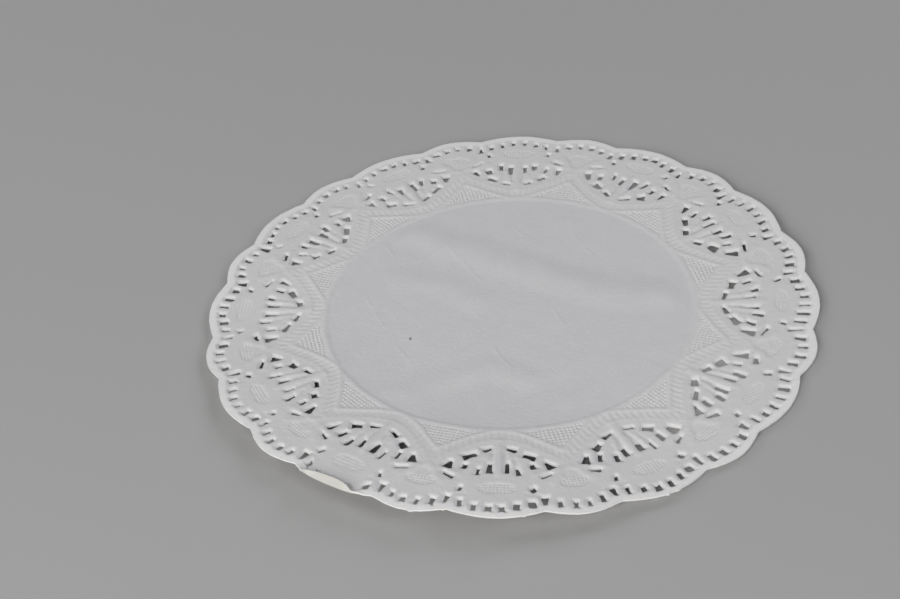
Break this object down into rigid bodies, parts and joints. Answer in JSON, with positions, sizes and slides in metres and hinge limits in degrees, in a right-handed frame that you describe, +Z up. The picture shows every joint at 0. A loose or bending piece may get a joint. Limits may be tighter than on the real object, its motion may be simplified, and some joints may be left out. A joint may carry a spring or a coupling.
{
  "type": "round paper lace doily",
  "caption": "Round white paper lace doily with a scalloped rim, die-cut fans and medallions, and a plain middle, lying with its near edge softly lifted.",
  "frame": {"origin": "middle of the underside, on the surface the sheet lies on", "axes": "+Z up out of the surface; -Y through the middle of one fan, at the edge that is lifted most"},
  "size_m": [0.165, 0.165, 0.0049],
  "materials": {
    "white_paper": "matt uncoated paper, embossed"
  },
  "bodies": {
    "root": {"doily": "white_paper"}
  },
  "joints": []
}
